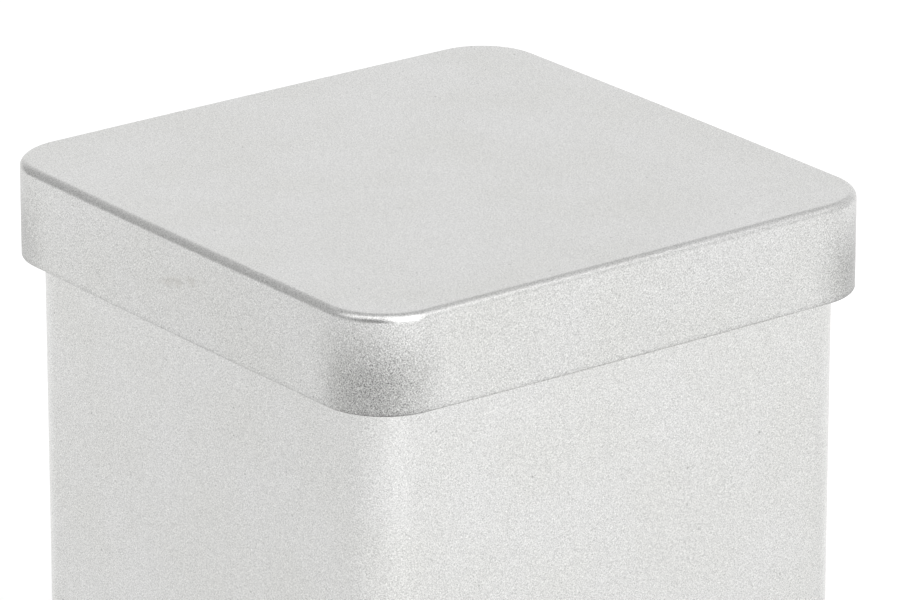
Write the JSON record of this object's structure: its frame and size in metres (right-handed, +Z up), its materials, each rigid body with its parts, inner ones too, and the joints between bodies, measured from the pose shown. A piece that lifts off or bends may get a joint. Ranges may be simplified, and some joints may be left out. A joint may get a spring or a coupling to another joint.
{
  "type": "square tin box",
  "caption": "Square tinplate box with rounded corners and an overhanging slip lid, shut.",
  "frame": {"origin": "centre of the footprint, on the surface that the box stands on", "axes": "+Z up through the middle of the lid; X and Y square to the sides"},
  "size_m": [0.076, 0.076, 0.092],
  "materials": {
    "tinplate": "satin"
  },
  "bodies": {
    "root": {"lid": "tinplate", "body": "tinplate", "bottom_end": "tinplate"}
  },
  "joints": []
}
